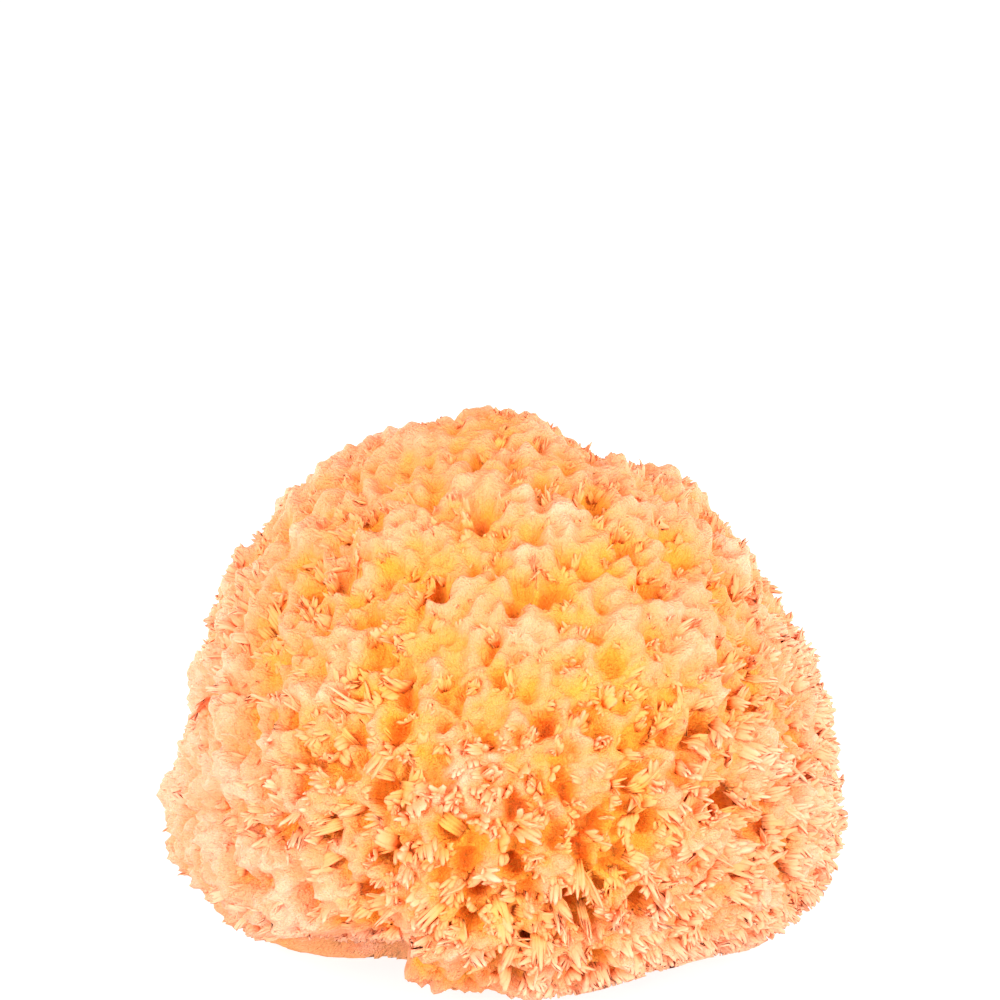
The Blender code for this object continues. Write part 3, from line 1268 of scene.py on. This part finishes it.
    def _sheets(self, random: np.random.Generator, lobes: LobeSet) -> tuple[np.ndarray, np.ndarray]:
        """The lobes' front and back, as grids of points that meet at all four borders.

        Each lobe's middle surface climbs from its root and bends over towards its lean. Its last part is
        split into teeth of uneven lengths, which narrow and stray, and the notches between them stop short.

        Args:
            random: the source of the teeth's lengths and strays.
            lobes: the lobes.

        Returns:
            Front and back points, seen from the heart, by lobe, row and column.
        """
        count = len(lobes.roots)
        tooth, is_tooth, side = self._tooth_columns()
        notches = np.linspace(-1, 1, self.teeth + 1) * np.ones((count, 1))
        shifts = random.uniform(-1, 1, (count, self.teeth - 1)) * self.notch_shift * 2 / self.teeth
        notches[:, 1:-1] += shifts
        middles = ((notches[:, :-1] + notches[:, 1:]) / 2)[:, tooth]
        halves = ((notches[:, 1:] - notches[:, :-1]) / 2)[:, tooth]
        at_notch = notches[:, self._notch_numbers()]
        place = np.where(is_tooth, middles + side * halves * self.tooth_fill, at_notch)
        place, middles = place[:, None], np.where(is_tooth, middles, place)[:, None]
        v = np.array(self.rows)[None, :, None]
        split = smooth_step(self.rows[1], self.split_full, v)
        narrowing = self.tooth_narrowing * split + self.tooth_point * (v == 1)
        u = middles + (place - middles) * (1 - narrowing)
        fray = random.uniform(*self.fray_range, count) * (1 - self.calm_smoothing * lobes.calm)
        fray = fray[:, None, None]
        longer = random.uniform(-self.tooth_shorter, self.tooth_longer, (count, 1, self.teeth))[:, :, tooth]
        notch = random.uniform(self.notch_least, self.notch_most, (count, 1, self.columns))
        ends = np.where(is_tooth, longer, -notch) * fray
        skew = random.normal(0, self.skew, (count, 1, 1))
        along = v * (1 - self.corner_drop * u**2 * v**2 + skew * u * v + ends * split)
        root = lobes.roots[:, None, None]
        away = lobes.away[:, None, None]
        path = (
            root * (lobes.outer - self.root_depth)[:, None, None, None]
            + root * (lobes.rise[:, None, None] * along)[..., None]
            + away * (lobes.lean[:, None, None] * along**self.lean_curve)[..., None]
        )
        flare = self.flare[0] + self.flare[1] * v + self.flare[2] * v**2
        sideways = lobes.width_axis[:, None, None] * (lobes.width[:, None, None] / 2 * u * flare)[..., None]
        tangent = unit(lobes.roots * lobes.rise[:, None] + lobes.away * lobes.lean[:, None])
        normal = unit(np.cross(lobes.width_axis, tangent))[:, None, None]
        curl = random.normal(0, self.curl, (count, 1, 1))
        bulge = lobes.cup[:, None, None] * (1 - u**2) * v + curl * v**3
        strays = random.normal(0, self.tooth_stray, (count, 1, self.teeth, 3))[:, :, tooth]
        strays = strays * (split * fray)[..., None] * is_tooth[:, None]
        middle = path + sideways + normal * bulge[..., None] + strays
        thick = self.thickness / 2 * np.sqrt(np.clip(1 - place**2, 0, 1))
        thick = thick * (1 - self.tip_thinning * v**2) * (v < 1)
        thick = thick * np.where(is_tooth, 1, 1 - (1 - self.notch_thickness) * fray)
        thick = thick * random.uniform(*self.thickness_range, (count, 1, 1))
        thick = thick * (1 - self.calm_slimming * lobes.calm)[:, None, None]
        offset = normal * thick[..., None]
        return middle + offset, middle - offset

    def _by_point(self, front: np.ndarray, back: np.ndarray) -> np.ndarray:
        """Puts the values of a lobe's two grids in its points' order.

        Args:
            front: the values of the front, by lobe, row and column.
            back: the values of the back, in the same way.

        Returns:
            By lobe, the whole front's values and then those of the back's inside.
        """
        count = len(front)
        inner = back[:, 1:-1, 1:-1].reshape(count, -1, *back.shape[3:])
        return np.concatenate((front.reshape(count, -1, *front.shape[3:]), inner), axis=1)

    def _quads(self) -> np.ndarray:
        """The corners of one lobe's quads.

        Returns:
            Four corners a row: the front grid's quads, and the back grid's turned the other way.
        """
        rows, columns = len(self.rows), self.columns
        front = np.arange(rows * columns).reshape(rows, columns)
        back = front.copy()
        back[1:-1, 1:-1] = rows * columns + np.arange((rows - 2) * (columns - 2)).reshape(rows - 2, -1)
        quads = []
        for index, turned in ((front, False), (back, True)):
            corners = (index[:-1, :-1], index[:-1, 1:], index[1:, 1:], index[1:, :-1])
            quads.append(np.stack(corners[::-1] if turned else corners, axis=-1).reshape(-1, 4))
        return np.concatenate(quads)

    def _keep_inside(self, seen: np.ndarray) -> np.ndarray:
        """Draws points that pass the outer form back to it.

        Args:
            seen: the points, seen from the heart.

        Returns:
            The points, none of them further out than a small margin past the form.
        """
        distance = np.linalg.norm(seen, axis=-1)
        limit = self.form.outer_radius(seen / distance[..., None]) + self.form_margin
        return seen * np.clip(limit / distance, None, 1)[..., None]

    def build(self) -> tuple[list[bpy.types.Object], np.ndarray]:
        """Computes all lobes at once and parts them into pieces by their azimuth.

        Returns:
            The pieces sponge_tufts_1 and on, and all their points as seen from the heart.
        """
        random = np.random.default_rng(self.seed)
        lobes = self._draw(random)
        front, back = self._sheets(random, lobes)
        front[:, 0] = (front[:, 0] + back[:, 0]) / 2
        seen = self._keep_inside(self._by_point(front, back))
        points = self.form.trim(seen)
        points[..., 2] = np.maximum(points[..., 2], self.floor_margin)

        grid = np.ones((1, len(self.rows), self.columns))
        _, is_tooth, _ = self._tooth_columns()
        u = self._by_point(*(grid * np.linspace(-1, 1, self.columns),) * 2)
        v = self._by_point(*(grid * np.array(self.rows)[:, None],) * 2)
        is_tooth = self._by_point(*(grid * is_tooth,) * 2)
        distance = np.linalg.norm(seen, axis=-1)
        under = self.form.outer_radius(seen / distance[..., None]) - distance
        buried = Burial().over(seen, seen)
        # Painted shade by depth under the outer form and under the lobes above, a painted highlight on the
        # tips, painted shade in the notches and the painted side shading
        depth = 1 - under / self.painted_shade_reach - self.burial_shade * buried
        tip_light = self.tip_light * (1 - self.calm_dulling * lobes.calm)[:, None]
        depth = depth + tip_light * v**3 - self.notch_shade * (1 - is_tooth)
        depth = depth - self.form.painted_side_shade(lobes.roots)[:, None]
        across = MIDDLE + u * lobes.width[:, None] / 2 / self.finish.across_span

        order = np.argsort(azimuth_of(lobes.roots))
        quads = self._quads()
        per_lobe = points.shape[1]
        material = self.finish.material()
        made = []
        for number, chosen in enumerate(np.array_split(order, self.pieces), 1):
            offset = (np.arange(len(chosen)) * per_lobe)[:, None, None]
            values = {
                Attribute.DEPTH: depth[chosen].ravel(),
                Attribute.TONE: np.repeat(lobes.tone[chosen], per_lobe),
                Attribute.ACROSS: across[chosen].ravel(),
            }
            corners = [(quads[None] + offset).reshape(-1, 4)]
            piece = make_mesh(f"sponge_tufts_{number}", points[chosen].reshape(-1, 3), corners, values)
            ride_as_sponge(piece, material)
            made.append(piece)
        return made, seen.reshape(-1, 3)


class Softbox(NamedTuple):
    """A square area light, with its place and side in metres and its power in watts."""

    name: str
    place: tuple[float, float, float]
    side: float
    power: float


@dataclass(frozen=True)
class Studio:
    """A plain white sweep, soft light all round and the camera of the product view."""

    image_side: int = 1000
    subject_row: int = 701
    subject_height: float = 50.0 * MM
    camera_distance: float = 521.0 * MM
    camera_elevation: float = math.radians(20.0)
    lens: float = 85.0
    sensor: float = 36.0
    floor_half: float = 9.0
    floor_grey: float = 0.3
    floor_roughness: float = 0.9
    floor_glow: float = 0.8
    sky: float = 0.87
    white: tuple[float, float, float, float] = (1.0, 1.0, 1.0, 1.0)
    softboxes: tuple[Softbox, ...] = (
        Softbox("front_left", (-0.65, -0.8, 0.4), 0.8, 12.5),
        Softbox("front_right", (0.7, -0.75, 0.35), 0.8, 13.5),
        Softbox("rear_left", (-0.75, 0.75, 0.2), 0.4, 10.0),
        Softbox("rear_right", (0.75, 0.75, 0.2), 0.4, 10.0),
    )

    def floor(self) -> None:
        """A wide, dull white floor, just under the foot."""
        side = self.floor_half
        points = np.array(((-side, -side, 0), (side, -side, 0), (side, side, 0), (-side, side, 0)), float)
        floor = make_mesh("floor", points, [np.array(((0, 1, 2, 3),))], {})
        material = bpy.data.materials.new("floor_paper")
        material.use_nodes = True
        shader = material.node_tree.nodes["Principled BSDF"]
        shader.inputs["Base Color"].default_value = (*(self.floor_grey,) * 3, 1.0)
        shader.inputs["Roughness"].default_value = self.floor_roughness
        shader.inputs["Specular IOR Level"].default_value = 0.0
        shader.inputs["Emission Color"].default_value = self.white
        shader.inputs["Emission Strength"].default_value = self.floor_glow
        floor.data.materials.append(material)

    def lights(self) -> None:
        """White light from the whole sky, two low softboxes in front and two weaker ones behind."""
        world = bpy.data.worlds.new("white_studio")
        world.use_nodes = True
        background = world.node_tree.nodes["Background"]
        background.inputs["Color"].default_value = self.white
        background.inputs["Strength"].default_value = self.sky
        bpy.context.scene.world = world
        for softbox in self.softboxes:
            data = bpy.data.lights.new(softbox.name, "AREA")
            data.size = softbox.side
            data.energy = softbox.power
            lamp = bpy.data.objects.new(softbox.name, data)
            lamp.location = softbox.place
            aim = Vector((0, 0, self.subject_height)) - lamp.location
            lamp.rotation_euler = aim.to_track_quat("-Z", "Y").to_euler()
            bpy.context.scene.collection.objects.link(lamp)

    def camera(self) -> None:
        """A portrait lens a little above the sponge, aimed over it so that it stands low in the picture."""
        data = bpy.data.cameras.new("camera")
        data.lens = self.lens
        data.sensor_width = self.sensor
        camera = bpy.data.objects.new("camera", data)
        elevation = self.camera_elevation
        back = Vector((0, -math.cos(elevation), math.sin(elevation)))
        camera.location = Vector((0, 0, self.subject_height)) + back * self.camera_distance
        rows_below_middle = self.subject_row - self.image_side / 2
        focal_pixels = self.lens / self.sensor * self.image_side
        pitch = elevation - math.atan(rows_below_middle / focal_pixels)
        look = Vector((0, math.cos(pitch), -math.sin(pitch)))
        camera.rotation_euler = look.to_track_quat("-Z", "Y").to_euler()
        bpy.context.scene.collection.objects.link(camera)
        bpy.context.scene.camera = camera

    def build(self) -> None:
        """Sets up floor, lights and camera, with plain display colours."""
        bpy.context.scene.view_settings.view_transform = "Standard"
        self.floor()
        self.lights()
        self.camera()


def main() -> None:
    """Builds the studio and the sponge's pieces in order, and reports each one."""
    logging.basicConfig(level=logging.INFO, format="%(name)s: %(message)s")
    Studio().build()
    form = GrowthForm()
    log.info("form: %d pits", len(form.pits))
    lobes, coat = LobeCoat(form).build()
    body = PorousBody(form).build(coat)
    for piece in (*lobes, body):
        log.info("%s: %d triangles", piece.name, triangle_count(piece))


if __name__ == "__main__":
    main()
